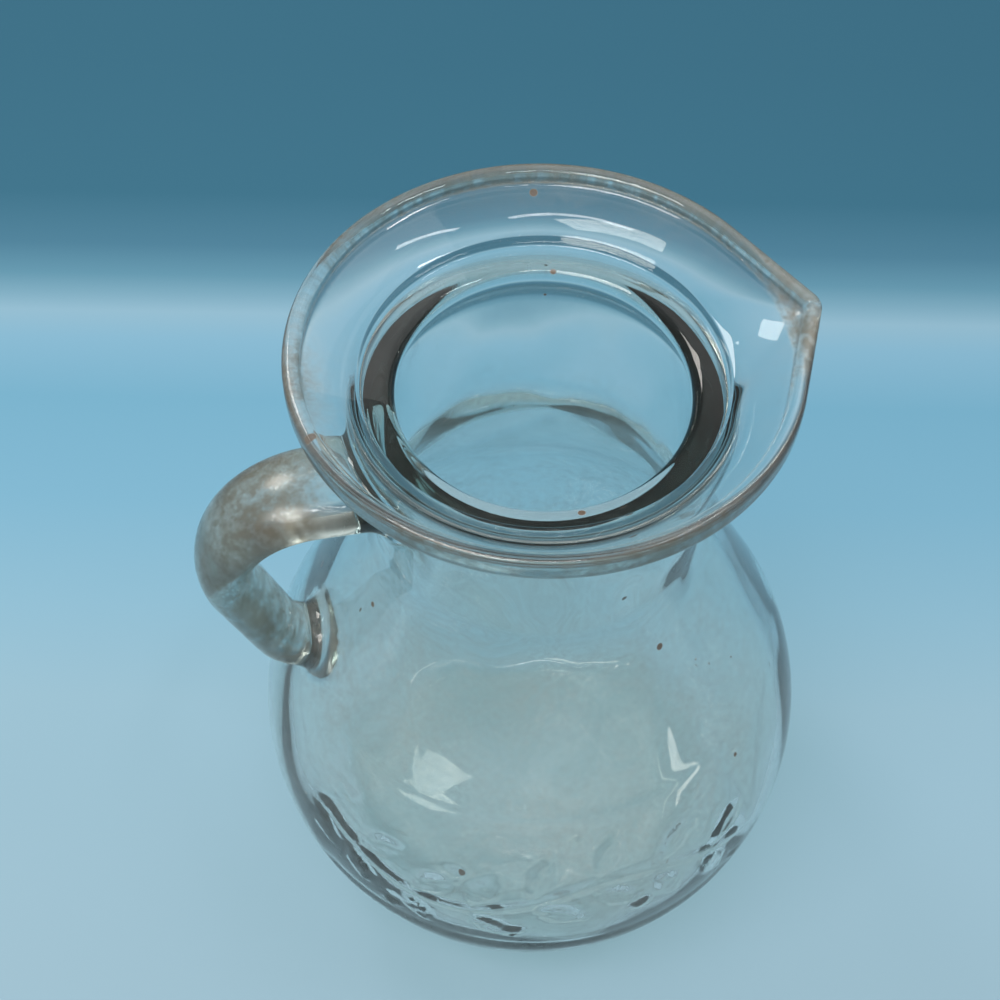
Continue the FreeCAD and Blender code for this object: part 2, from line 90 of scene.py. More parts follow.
# where it starts and where it is whole: height, distance from the axis, cosine from the lip
INSIDE_UP, INSIDE_OUT, MOUTH_UP = (166, 140), (6, 34), (150, 176)
OUTSIDE_TURN, FOOT_UP, OUTSIDE_UP = (-0.55, 0.0), (2, 16), (176, 150)
BOTTOM_OUT = (1.5, 9)

# garland pressed into the near side of the bulb
GARLAND_TURN = math.radians(-104)
GARLAND_HEIGHT = 64.0
GARLAND_HALF_LENGTH, GARLAND_HALF_HEIGHT = 54.0, 22.0
GARLAND_FADE = (7.0, 5.0)
GARLAND_DEPTH = 0.75
STEM_RISE, STEM_RUN = 5.5, 14.0          # the stem's wave: its height, and its run in a radian
STEM_STRENGTH, STEM_EDGE = 0.5, (2.3, 0.5)
LEAF_PAIRS_EACH_WAY, LEAF_STEP = 4, 15.5
LEAF_TURN, LEAF_OUT = 0.92, 9.0
LEAF_HALF_LENGTH, LEAF_HALF_WIDTH, LEAF_POINT = 8.2, 3.7, 0.75
VEIN_DEPTH, VEIN_WIDTH, VEIN_LENGTH = 0.35, 0.45, 0.8
BERRY_BACK, BERRY_OUT, BERRY_EDGE = 3.6, 12.5, (2.5, 0.9)

# glass
GLASS_IOR = 1.5
GLASS_COLOUR = (0.985, 0.995, 0.99, 1)
TINT_COLOUR, TINT_DENSITY = (0.68, 0.78, 0.76, 1), 55.0
SHADOW_COLOUR = (0.945, 0.95, 0.94, 1)   # light left after a wall, for shadows and on the floor
# dry film, and painted shade where its brown darkens the rim's outer band into dark lines: how
# much of it, its colour, and in metres where it starts and where it is whole
FILM_BULB, FILM_RIM, BAND_FILM_AND_SHADE, FILM_HANDLE = 0.035, 0.05, 0.20, 0.17
FILM_EVERYWHERE, FILM_EVEN_SHARE = 0.012, 0.55
FILM_AND_SHADE_COLOUR = (0.33, 0.29, 0.235, 1)
BULB_FADE, RIM_FADE = (0.150, 0.110), (0.178, 0.185)
BAND_FADE_OUT, BAND_FADE_UP = (0.0500, 0.0514), (0.174, 0.178)
HANDLE_FADE_OUT, HANDLE_FADE_UP = (-0.040, -0.056), (0.080, 0.100)
CLOUD_SCALE, CLOUD_RANGE = 26, (0.36, 0.70)
GRAIN_SCALE, GRAIN_RANGE = 420, (0.30, 0.72, 0.55, 1.35)
FILM_TO_ROUGHNESS, FILM_AND_SHADE_TO_COLOUR = (0.02, 0.26, 0.0, 0.24), (0.0, 0.30)
# dry specks: their colour, and which cells of a fine scatter have one
SPECK_COLOUR, SPECK_COVER = (0.16, 0.11, 0.08, 1), 0.85
SPECK_SCALE, SPECK_SIZES, SPECK_EDGE = 105.0, (0.80, 1.0, 0.0, 0.12), 0.018

# floor: metres ahead of the axis, and the colour there
FLOOR_COLOURS = [
    (-0.060, (0.320, 0.490, 0.600)), (0.024, (0.310, 0.505, 0.630)),
    (0.057, (0.262, 0.484, 0.632)), (0.095, (0.205, 0.446, 0.615)),
    (0.135, (0.178, 0.420, 0.588)), (0.160, (0.232, 0.463, 0.628)),
    (0.172, (0.280, 0.485, 0.622)), (0.180, (0.198, 0.393, 0.522)),
    (0.189, (0.121, 0.300, 0.420)), (0.203, (0.074, 0.215, 0.322)),
    (0.228, (0.045, 0.166, 0.255)), (0.300, (0.042, 0.158, 0.244))]
FLOOR_HALF, FLOOR_DROP = 3, 0.0003
FLOOR_ROUGHNESS, FLOOR_SPECULAR = 0.9, 0.2
# room: how far the view points up, and the colour there
ROOM_COLOURS = [(0.0, (0.06, 0.12, 0.145)), (0.2, (0.07, 0.085, 0.085)),
                (0.5, (0.15, 0.15, 0.14)), (0.9, (0.36, 0.38, 0.40))]
# soft glow of light behind the pitcher
GLOW_WAY, GLOW_STRENGTH, GLOW_COLOUR = (0.12, 0.5, 0.85), 0.75, (1.0, 0.97, 0.93, 1)
GLOW_RANGE = (0.84, 0.99)
# lamps: place, what each faces, size, power and colour
LAMPS = {
    "key": ((-0.5, -0.35, 1.1), (0, 0, 0.1), (0.7, 0.35), 6.4, (1.0, 0.95, 0.88)),
    "fill": ((0.7, 0.2, 0.9), (0, 0, 0.1), (1.0, 1.0), 1.7, (1.0, 0.99, 0.97)),
    "back": ((-0.45, 0.74, 1.0), (0, 0, 0.18), (0.34, 0.34), 3.4, (1.0, 0.95, 0.89)),
    "strip_near": ((-0.16, -0.27, 1.0), (0, 0.04, 0.178), (0.56, 0.05), 1.5, (1, 1, 1)),
    "strip_far": ((0.44, -0.22, 0.98), (0, 0.04, 0.178), (0.36, 0.05), 1.1, (1, 1, 1))}
LIGHT_BOUNCES = 12

# camera: millimetres, and the way it looks
CAMERA_PLACE = (-64.2, -222.8, 455.8)
CAMERA_WAY = (0.1412, 0.5665, -0.8118)
CAMERA_ROLL = 0.018
SENSOR_WIDTH, LENS = 36.0, 64.8
CLIP = (0.01, 20)


def arc(circle, start, stop, step):
    """Points along an arc, angles in degrees, the last one left out."""
    across, up, radius = circle
    count = max(2, round(abs(math.radians(stop - start)) * radius / step))
    angles = np.radians(np.linspace(start, stop, count, endpoint=False))
    return [(across + radius * math.cos(a), up + radius * math.sin(a)) for a in angles]


def line(start, stop, step):
    """Points along a straight, the last one left out."""
    count = max(1, round(math.dist(start, stop) / step))
    return [(start[0] + (stop[0] - start[0]) * k / count,
             start[1] + (stop[1] - start[1]) * k / count) for k in range(count)]


def on_arc(circle, angle):
    return (circle[0] + circle[2] * math.cos(math.radians(angle)),
            circle[1] + circle[2] * math.sin(math.radians(angle)))


def rounded(corners, step):
    """Points along straights whose corners (across, up, radius) are rounded."""
    points = []
    last = corners[0][:2]
    for before, corner, after in zip(corners, corners[1:], corners[2:]):
        at = np.array(corner[:2])
        one = np.array(before[:2]) - at
        two = np.array(after[:2]) - at
        one, two = one / np.linalg.norm(one), two / np.linalg.norm(two)
        half = math.acos(float(np.clip(one @ two, -1, 1))) / 2
        tangent = corner[2] / math.tan(half)
        middle = (one + two) / np.linalg.norm(one + two)
        centre = at + middle * corner[2] / math.sin(half)
        start, stop = at + one * tangent - centre, at + two * tangent - centre
        first = math.degrees(math.atan2(start[1], start[0]))
        turn = math.degrees(math.atan2(stop[1], stop[0])) - first
        turn = (turn + 180) % 360 - 180
        points += line(last, tuple(centre + start), step)
        points += arc((*centre, corner[2]), first, first + turn, step * 0.4)
        last = tuple(centre + stop)
    return points + line(last, corners[-1][:2], step)


def outside():
    """The outer side from the axis under the foot, up to the middle of the rim's top."""
    punt_radius = (RING_INNER ** 2 + PUNT_HEIGHT ** 2) / (2 * PUNT_HEIGHT)
    punt = (0, PUNT_HEIGHT - punt_radius, punt_radius)
    punt_edge = math.degrees(math.atan2(-punt[1], RING_INNER))
    foot_turn = math.degrees(math.atan2(FOOT_CORNER[1] - BULB[1], FOOT_CORNER[0] - BULB[0]))
    rows = arc(punt, 90, punt_edge, 2.4)
    rows += line((RING_INNER, 0), (RING_OUTER, 0), 1.3)
    rows += arc(FOOT_CORNER, -90, foot_turn, 1.2)
    low = math.degrees(math.asin((RELIEF_LOW - BULB[1]) / BULB[2]))
    rows += arc(BULB, foot_turn, low, 1.8)
    rows += arc(BULB, low, LEAN, 0.85)
    rows += line(on_arc(BULB, LEAN), on_arc(HOLLOW, 180 + LEAN), 1.6)
    rows += arc(HOLLOW, 180 + LEAN, 180, 1.2)
    rows += line((NECK_RADIUS, HOLLOW[1]), (NECK_RADIUS, NECK_TOP), 1.5)
    for share in np.linspace(0, 1, FLARE_ROWS, endpoint=False) ** FLARE_SPREAD:
        rows.append((NECK_RADIUS + (RIM_LOW - NECK_RADIUS) * share ** FLARE_POWER,
                     NECK_TOP + FLARE_HEIGHT * share))
    low_side = NECK_TOP + FLARE_HEIGHT + RIM_ROUNDING
    rows += arc((RIM_LOW, low_side, RIM_ROUNDING), -80, 0, 0.35)
    rows += line((RIM_RADIUS, low_side), (RIM_RADIUS, RIM_HEIGHT - RIM_ROUNDING), 0.8)
    rows += arc((RIM_LOW, RIM_HEIGHT - RIM_ROUNDING, RIM_ROUNDING), 0, 90, 0.35)
    return rows


def inside():
    """The inner side from the middle of the rim's top, down to the axis."""
    dish_top = DISH_EDGE[0] + RIM_ROUNDING
    rows = [(RIM_LOW, RIM_HEIGHT)]
    rows += arc((dish_top, RIM_HEIGHT - RIM_ROUNDING, RIM_ROUNDING), 90, 180, 0.35)
    away = np.array(STEP) - THROAT[:2]
    lip = math.degrees(math.atan2(away[1], away[0])
                       + math.acos(THROAT[2] / float(np.hypot(*away))))
    rows += rounded([(DISH_EDGE[0], RIM_HEIGHT - RIM_ROUNDING, 0), (*DISH_EDGE, EDGE_ROUNDING),
                     (*SEAT, SEAT_ROUNDING), (*STEP, 0)], 1.0)
    rows += line(STEP, on_arc(THROAT, lip), 0.6)
    rows += arc(THROAT, lip, 180 + UNDERCUT, 0.35)
    rows += line(on_arc(THROAT, 180 + UNDERCUT), on_arc(UNDERCUT_FILLET, UNDERCUT), 0.8)
    rows += arc(UNDERCUT_FILLET, UNDERCUT, 0, 0.6)
    hollow = (HOLLOW[0], HOLLOW[1], HOLLOW[2] + WALL)
    bulb = (BULB[0], BULB[1], BULB[2] - WALL)
    neck = NECK_RADIUS - WALL
    rows += line((neck, UNDERCUT_FILLET[1]), (neck, HOLLOW[1]), 1.8)
    rows += arc(hollow, 180, 180 + LEAN, 1.4)
    rows += line(on_arc(hollow, 180 + LEAN), on_arc(bulb, LEAN), 2.4)
    base = math.degrees(math.atan2(BASE_CORNER[1] - BULB[1], BASE_CORNER[0] - BULB[0]))
    rows += arc(bulb, LEAN, base, 2.6)
    rows += arc(BASE_CORNER, base, -90, 1.5)
    rows += line((BASE_CORNER[0], BASE_THICKNESS), (1.5, BASE_THICKNESS), 2.6)
    return rows


def lipped(radius, share, angles):
    """The outline's radius at each angle: round, with two flanks and a tip along +X."""
    if share <= 0:
        return np.full_like(angles, radius)
    extra = LIP_REACH * share
    around = radius - extra * LIP_COSINE / (1 - LIP_COSINE)
    parting = math.acos(LIP_COSINE)
    centre = radius + extra - around
    turn = np.abs((angles + math.pi) % (2 * math.pi) - math.pi)
    tip = math.atan2(around * math.sin(parting), centre + around * math.cos(parting))
    flank = radius / np.cos(parting - np.minimum(turn, parting))
    near = np.minimum(turn, tip)
    nose = centre * np.cos(near) + np.sqrt(around ** 2 - (centre * np.sin(near)) ** 2)
    return np.where(turn < tip, nose, np.where(turn < parting, flank, radius))


def spread_angles(count):
    """Angles round the axis, closer together at the lip."""
    turn = np.arange(count) / count
    return 2 * math.pi * turn - LIP_CROWDING * np.sin(2 * math.pi * turn)


def ease(value, low, high):
    """Rises smoothly from 0 at low to 1 at high."""
    part = np.clip((value - low) / (high - low), 0, 1)
    return part * part * (3 - 2 * part)


def uneven(angles, up):
    """Slow waves round and along the glass, between about -1 and 1."""
    waves = sum(strength * np.sin(number * angles + change * up + start)
                for strength, number, change, start in WAVES)
    return waves / WAVES_TOP


def inner_change(angles, across, up):
    """How far the inner side lies outside the plain form: waves, less of them at the mouth."""
    share = ease(up, *INSIDE_UP) * ease(across, *INSIDE_OUT)
    mouth = UNEVEN_MOUTH * ease(up, *MOUTH_UP)
    return (UNEVEN_INSIDE * share * uneven(angles, up)
            + mouth * uneven(angles * 2, up * 3))


def bottom_waves(x, y):
    """Slight unevenness of the inside bottom, none at its middle."""
    waves = (np.sin(x / 5.1 + 0.6) * np.cos(y / 6.3 + 0.2) + 0.7 * np.sin((x - y) / 4.2 + 1.9)
             + 0.5 * np.cos((x + 1.3 * y) / 7.5))
    return UNEVEN_BOTTOM * waves * ease(np.hypot(x, y), *BOTTOM_OUT)


def outer_change(angles, across, up):
    """How far the outer side lies inside the plain form: waves and the garland's ground."""
    away = ease(np.cos(angles), *OUTSIDE_TURN) * ease(up, *FOOT_UP) * ease(up, *OUTSIDE_UP)
    return (UNEVEN_OUTSIDE * away * (0.5 + 0.5 * uneven(angles + 1.9, up * 1.3))
            + garland_ground(angles, up))


def leaf(u, v, at, turn):
    """Height of a pointed leaf with a vein, 0 outside it."""
    du, dv = u - at[0], v - at[1]
    along = (du * math.cos(turn) + dv * math.sin(turn)) / LEAF_HALF_LENGTH
    cross = (-du * math.sin(turn) + dv * math.cos(turn)) / LEAF_HALF_WIDTH
    narrowing = np.maximum(1 - LEAF_POINT * np.abs(along) ** 1.5, 0.05)
    inside = 1 - along ** 2 - np.abs(cross) / narrowing
    vein = np.exp(-(cross * LEAF_HALF_WIDTH / VEIN_WIDTH) ** 2) * (np.abs(along) < VEIN_LENGTH)
    return np.clip(ease(inside, 0.0, 0.4) - VEIN_DEPTH * vein, 0, 1)


def garland_height(u, v):
    """A wavy stem with leaves in pairs and berries between them, from 0 to 1."""
    stem = STEM_RISE * np.sin(u / STEM_RUN)
    slope = STEM_RISE / STEM_RUN * np.cos(u / STEM_RUN)
    made = STEM_STRENGTH * ease(np.abs(v - stem) / np.sqrt(1 + slope ** 2), *STEM_EDGE)
    for k in range(-LEAF_PAIRS_EACH_WAY, LEAF_PAIRS_EACH_WAY + 1):
        at = LEAF_STEP * k
        lie = math.atan(STEM_RISE / STEM_RUN * math.cos(at / STEM_RUN))
        base = (at, STEM_RISE * math.sin(at / STEM_RUN))
        for side in (-1, 1):
            turn = lie + side * LEAF_TURN
            middle = (base[0] + LEAF_OUT * math.cos(turn), base[1] + LEAF_OUT * math.sin(turn))
            made = np.maximum(made, leaf(u, v, middle, turn))
        side = 1 if k % 2 else -1
        berry = (base[0] - BERRY_BACK, base[1] + side * BERRY_OUT)
        made = np.maximum(made, ease(np.hypot(u - berry[0], v - berry[1]), *BERRY_EDGE))
    return made


def garland_ground(angles, up):
    """Depth of the shallow ground round the garland, whose tops keep the plain form."""
    turn = (angles - GARLAND_TURN + math.pi) % (2 * math.pi) - math.pi
    u, v = turn * (BULB[0] + BULB[2]), up - GARLAND_HEIGHT
    if abs(v) > GARLAND_HALF_HEIGHT + GARLAND_FADE[1]:
        return 0.0
    v = np.full_like(u, v)
    field = (ease(np.abs(u), GARLAND_HALF_LENGTH + GARLAND_FADE[0], GARLAND_HALF_LENGTH)
             * ease(np.abs(v), GARLAND_HALF_HEIGHT + GARLAND_FADE[1], GARLAND_HALF_HEIGHT))
    return GARLAND_DEPTH * field * (1 - garland_height(u, v))


def add_object(name, points, faces):
    mesh = bpy.data.meshes.new(name)
    mesh.from_pydata([tuple(p * MM) for p in points], [], faces)
    mesh.validate()
    obj = bpy.data.objects.new(name, mesh)
    bpy.context.scene.collection.objects.link(obj)
    return obj


def vessel():
    """Foot, bulb, neck, lip and the inside, as one closed mesh of rings."""
    points, faces, rings = [], [], []
    rows = [(across, up, (across - NECK_RADIUS) / (RIM_LOW - NECK_RADIUS) * (up > NECK_TOP),
             RELIEF_LOW <= up <= RELIEF_HIGH) for across, up in outside()]
    rows += [(across, up, (across - SEAT[0]) / (DISH_EDGE[0] - SEAT[0]) * (up > THROAT[1]),
              False) for across, up in inside()]
    outer = len(outside())
    for number, (across, up, share, fine) in enumerate(rows[1:], 1):
        angles = spread_angles(COLUMNS * 2 if fine else COLUMNS)
        radius = lipped(across, min(max(share, 0), 1), angles)
        if number >= outer:
            radius = radius + inner_change(angles, across, up)
        else:
            radius = radius - outer_change(angles, across, up)
        first = len(points)
        x, y = radius * np.cos(angles), radius * np.sin(angles)
        level = up + (bottom_waves(x, y) * ease(up, 20, 8) if number >= outer else 0 * x)
        points += list(np.stack([x, y, level], 1))
        rings.append(list(range(first, len(points))))
    for low, high in zip(rings, rings[1:]):
        faces += bridge(low, high)
    for ring, up in ((rings[0][::-1], rows[0][1]), (rings[-1], BASE_THICKNESS)):
        points.append(np.array((0, 0, up)))
        faces += [(ring[k], ring[(k + 1) % len(ring)], len(points) - 1)
                  for k in range(len(ring))]
    return np.array(points), faces


def bridge(low, high):
    """Faces between two rings, where one may have twice the points of the other."""
    faces = []
    if len(low) == len(high):
        for k, after in enumerate(list(range(1, len(low))) + [0]):
            faces.append((low[k], low[after], high[after], high[k]))
    elif len(low) < len(high):
        for k in range(len(low)):
            a, b = low[k], low[(k + 1) % len(low)]
            c, d, e = high[2 * k], high[2 * k + 1], high[(2 * k + 2) % len(high)]
            faces += [(a, d, c), (a, b, d), (b, e, d)]
    else:
        faces = [tuple(reversed(f)) for f in bridge(high, low)]
    return faces


def handle_line():
    """Places, directions and width shares along the middle of the handle, from its upper root."""
    path = line((HANDLE_ROOT, HANDLE_TOP[1] + HANDLE_TOP[2]),
                (HANDLE_TOP[0], HANDLE_TOP[1] + HANDLE_TOP[2]), 1.2)
    path += arc(HANDLE_TOP, 90, GRIP_ANGLE, 1.2)
    path += line(on_arc(HANDLE_TOP, GRIP_ANGLE), on_arc(HANDLE_LOW, GRIP_ANGLE), 1.2)
    path += arc(HANDLE_LOW, GRIP_ANGLE, LOW_END_ANGLE, 1.0)
    path.append(on_arc(HANDLE_LOW, LOW_END_ANGLE))
    path = np.array(path)
    along = np.gradient(path, axis=0)
    along /= np.linalg.norm(along, axis=1)[:, None]
    run = np.concatenate([[0], np.cumsum(np.linalg.norm(np.diff(path, axis=0), axis=1))])
    return path, along, run / run[-1]


def handle():
    """The oval bar, its ends shaped to lie in the middle of the wall."""
    path, along, share = handle_line()
    turn = np.linspace(0, 2 * math.pi, HANDLE_SIDES, endpoint=False)
    points, faces, rings = [], [], []

    def add_ring(ring):
        first = len(points)
        points.extend(ring)
        rings.append(list(range(first, len(points))))

    for (x, z), (ax, az), part in zip(path, along, share):
        half = (HANDLE_ROOT_WIDTH + (HANDLE_END_WIDTH - HANDLE_ROOT_WIDTH) * part) / 2
        up = HANDLE_HALF_THICK * np.sin(turn)
        add_ring(np.stack([x + up * az, half * np.cos(turn), z - up * ax], 1))
    last = np.array([points[k] for k in rings[-1]])
    seat = (on_arc(BULB, LEAN)[0] - (last[:, 2] - on_arc(BULB, LEAN)[1])
            * math.tan(math.radians(LEAN)) - WALL / 2 / math.cos(math.radians(LEAN)))
    end = last.copy()
    end[:, 0] = -np.sqrt(seat ** 2 - last[:, 1] ** 2)
    add_ring((last + end) / 2)
    add_ring(end)
    for low, high in zip(rings, rings[1:]):
        faces += bridge(low, high)
    for ring in (rings[0][::-1], rings[-1]):
        points.append(np.mean([points[k] for k in ring], axis=0))
        faces += [(ring[k], ring[(k + 1) % len(ring)], len(points) - 1)
                  for k in range(len(ring))]
    return np.array(points), faces


def vessel_gap(p):
    """Signed distance from the outer side of the bulb, shoulder and neck, near the handle."""
    across, up = np.hypot(p[:, 0], p[:, 1]), p[:, 2]
    lean = math.radians(LEAN)
    from_bulb = np.hypot(across - BULB[0], up - BULB[1]) - BULB[2]
    from_hollow = HOLLOW[2] - np.hypot(across - HOLLOW[0], up - HOLLOW[1])
    low = on_arc(BULB, LEAN)
    cone = (across - low[0]) * math.cos(lean) + (up - low[1]) * math.sin(lean)
    along = -(across - low[0]) * math.sin(lean) + (up - low[1]) * math.cos(lean)
    straight = math.dist(low, on_arc(HOLLOW, 180 + LEAN))
    return np.select([along < 0, along < straight, up < HOLLOW[1]],
                     [from_bulb, cone, from_hollow], across - NECK_RADIUS)


def handle_gap(p):
    """Signed distance from the oval bar, run on inside the wall at both ends."""
    path, along, share = handle_line()
    path = np.vstack([path[0] + (HANDLE_RUN_ON[0], 0), path,
                      path[-1] + HANDLE_RUN_ON[1] * along[-1]])
    share = np.concatenate([[share[0]], share, [share[-1]]])
    start, stop = path[:-1], path[1:]
    step = stop - start
    flat = p[:, None, [0, 2]] - start[None]
    at = np.clip((flat * step).sum(2) / (step ** 2).sum(1), 0, 1)
    apart = np.linalg.norm(flat - at[..., None] * step, axis=2)
    best = apart.argmin(1)
    rows = np.arange(len(p))
    part = share[best] + at[rows, best] * (share[best + 1] - share[best])
    half = (HANDLE_ROOT_WIDTH + (HANDLE_END_WIDTH - HANDLE_ROOT_WIDTH) * part) / 2
    thick, wide = apart[rows, best] / HANDLE_HALF_THICK, p[:, 1] / half
    size = np.hypot(thick, wide)
    slope = np.hypot(thick / HANDLE_HALF_THICK, wide / half)
    return size * (size - 1) / np.maximum(slope, 1e-6)


def joined_gap(p):
    one, two = vessel_gap(p), handle_gap(p)
    near = np.hypot(np.maximum(ROOT_FILLET - one, 0), np.maximum(ROOT_FILLET - two, 0))
    return np.maximum(ROOT_FILLET, np.minimum(one, two)) - near


def slope_of(gap, p, step=0.02):
    parts = []
    for axis in range(3):
        shift = np.zeros(3)
        shift[axis] = step
        parts.append((gap(p + shift) - gap(p - shift)) / (2 * step))
    return np.stack(parts, 1)


def soften_roots(obj):
    """Fills the corners where the handle meets the wall, and gives them their exact normals."""
    mesh = obj.data
    p = np.empty(len(mesh.vertices) * 3)
    mesh.vertices.foreach_get("co", p)
    p = p.reshape(-1, 3) / MM
    near = np.flatnonzero((p[:, 0] < ROOT_FRONT) & (p[:, 2] > ROOTS_LOW)
                          & (p[:, 2] < ROOTS_HIGH) & (vessel_gap(p) > -ROOT_SLACK))
    near = near[(vessel_gap(p[near]) < ROOT_FILLET) & (handle_gap(p[near]) < ROOT_FILLET)]
    q = p[near].copy()
    for _ in range(ROOT_PASSES):
        gap = joined_gap(q)
        slope = slope_of(joined_gap, q)
        q -= gap[:, None] * slope / np.maximum((slope ** 2).sum(1), 0.05)[:, None]
    p[near] = q
    mesh.vertices.foreach_set("co", (p * MM).ravel())
    mesh.update()
    normals = np.empty(len(mesh.vertices) * 3)
    mesh.vertices.foreach_get("normal", normals)
    normals = normals.reshape(-1, 3)
    exact = slope_of(joined_gap, q)
    normals[near] = exact / np.linalg.norm(exact, axis=1)[:, None]
    mesh.normals_split_custom_set_from_vertices(normals.tolist())


def shade_smooth(obj):
    obj.data.polygons.foreach_set("use_smooth", [True] * len(obj.data.polygons))
    obj.data.update()


def build_pitcher():
    body = add_object("pitcher_glass", *vessel())
    bar = add_object("handle_bar", *handle())
    for obj in (body, bar):
        fix_normals(obj)
    join = body.modifiers.new("Join", "BOOLEAN")
    join.operation, join.solver, join.object = "UNION", "MANIFOLD", bar
    graph = bpy.context.evaluated_depsgraph_get()
    made = bpy.data.meshes.new_from_object(body.evaluated_get(graph))
    body.modifiers.clear()
    body.data = made
    bpy.data.objects.remove(bar)
    shade_smooth(body)
    soften_roots(body)
    return body


def fix_normals(obj):
    work = bmesh.new()
    work.from_mesh(obj.data)
    bmesh.ops.recalc_face_normals(work, faces=work.faces)
    work.to_mesh(obj.data)
    work.free()


def node(tree, kind, **values):
    made = tree.nodes.new(kind)
    for name, value in values.items():
        if name in made.inputs:
            made.inputs[name].default_value = value
        else:
            setattr(made, name, value)
    return made


def math_node(tree, operation, one, two):
    """A Math node; each input is a socket or a number."""
    made = tree.nodes.new("ShaderNodeMath")
    made.operation = operation
    for place, value in enumerate((one, two)):
        if isinstance(value, (int, float)):
            made.inputs[place].default_value = value
        else:
            tree.links.new(value, made.inputs[place])
    return made.outputs[0]


def ranged(tree, value, low, high, start=0.0, stop=1.0, kind="SMOOTHSTEP"):
    """A Map Range node, from start at low to stop at high."""
    made = node(tree, "ShaderNodeMapRange", interpolation_type=kind)
    for name, number in (("From Min", low), ("From Max", high), ("To Min", start),
                         ("To Max", stop)):
        made.inputs[name].default_value = number
    tree.links.new(value, made.inputs["Value"])
    return made.outputs["Result"]


def ramped(tree, value, colours):
    """A Color Ramp node; colours are pairs of a place from 0 to 1 and a colour."""
    ramp = node(tree, "ShaderNodeValToRGB")
    spots = ramp.color_ramp.elements
    while len(spots) < len(colours):
        spots.new(0.5)
    for spot, (at, colour) in zip(spots, colours):
        spot.position, spot.color = at, (*colour, 1)
    tree.links.new(value, ramp.inputs[0])
    return ramp.outputs["Color"]


def facing(tree, value, way):
    """How far a vector reaches in a given direction."""
    made = node(tree, "ShaderNodeVectorMath", operation="DOT_PRODUCT")
    made.inputs[1].default_value = way
    tree.links.new(value, made.inputs[0])
    return made.outputs["Value"]


def noise(tree, place, scale, detail, roughness=0.55):
    """A Noise Texture node, from 0 to 1."""
    made = node(tree, "ShaderNodeTexNoise", Scale=scale, Detail=detail, Roughness=roughness)
    tree.links.new(place, made.inputs["Vector"])
    return made.outputs["Fac"]


def film_and_shade_mask(tree, place):
    """How much a dry film hides the glass: faint, but for the rim's band and the handle; on the
    rim's band its brown is painted shade.
    """
    split = node(tree, "ShaderNodeSeparateXYZ")
    tree.links.new(place, split.inputs[0])
    across, up = split.outputs["X"], split.outputs["Z"]
    cloud = ranged(tree, noise(tree, place, CLOUD_SCALE, 4), *CLOUD_RANGE)
    grain = ranged(tree, noise(tree, place, GRAIN_SCALE, 3, 0.7), *GRAIN_RANGE)
    bulb = ranged(tree, up, *BULB_FADE, 0.0, FILM_BULB)
    rim = ranged(tree, up, *RIM_FADE, 0.0, FILM_RIM)
    flat = node(tree, "ShaderNodeVectorMath", operation="MULTIPLY")
    flat.inputs[1].default_value = (1, 1, 0)
    tree.links.new(place, flat.inputs[0])
    far = node(tree, "ShaderNodeVectorMath", operation="LENGTH")
    tree.links.new(flat.outputs[0], far.inputs[0])
    # the rim's outer band: film whose brown is painted shade, dark lines round the rim
    band = ranged(tree, far.outputs["Value"], *BAND_FADE_OUT, 0.0, BAND_FILM_AND_SHADE)
    band = math_node(tree, "MULTIPLY", band, ranged(tree, up, *BAND_FADE_UP))
    bar = ranged(tree, across, *HANDLE_FADE_OUT, 0.0, FILM_HANDLE)
    bar = math_node(tree, "MULTIPLY", bar, ranged(tree, up, *HANDLE_FADE_UP))
    even = math_node(tree, "ADD", math_node(tree, "MAXIMUM", bulb, bar), FILM_EVERYWHERE)
    even = math_node(tree, "MAXIMUM", even, band)
    blotch = math_node(tree, "MULTIPLY", cloud, math_node(tree, "ADD", even, rim))
    film_and_shade = math_node(tree, "ADD", math_node(tree, "MULTIPLY", even, FILM_EVEN_SHARE), blotch)
    return math_node(tree, "MULTIPLY", film_and_shade, grain)


def speck_mask(tree, place):
    """Small dry specks, in a few of the cells of a fine scatter."""
    cells = node(tree, "ShaderNodeTexVoronoi", Scale=SPECK_SCALE)
    tree.links.new(place, cells.inputs["Vector"])
    split = node(tree, "ShaderNodeSeparateColor")
    tree.links.new(cells.outputs["Color"], split.inputs[0])
    size = ranged(tree, split.outputs[0], *SPECK_SIZES)
    gap = math_node(tree, "SUBTRACT", size, cells.outputs["Distance"])
    return ranged(tree, gap, 0.0, SPECK_EDGE)


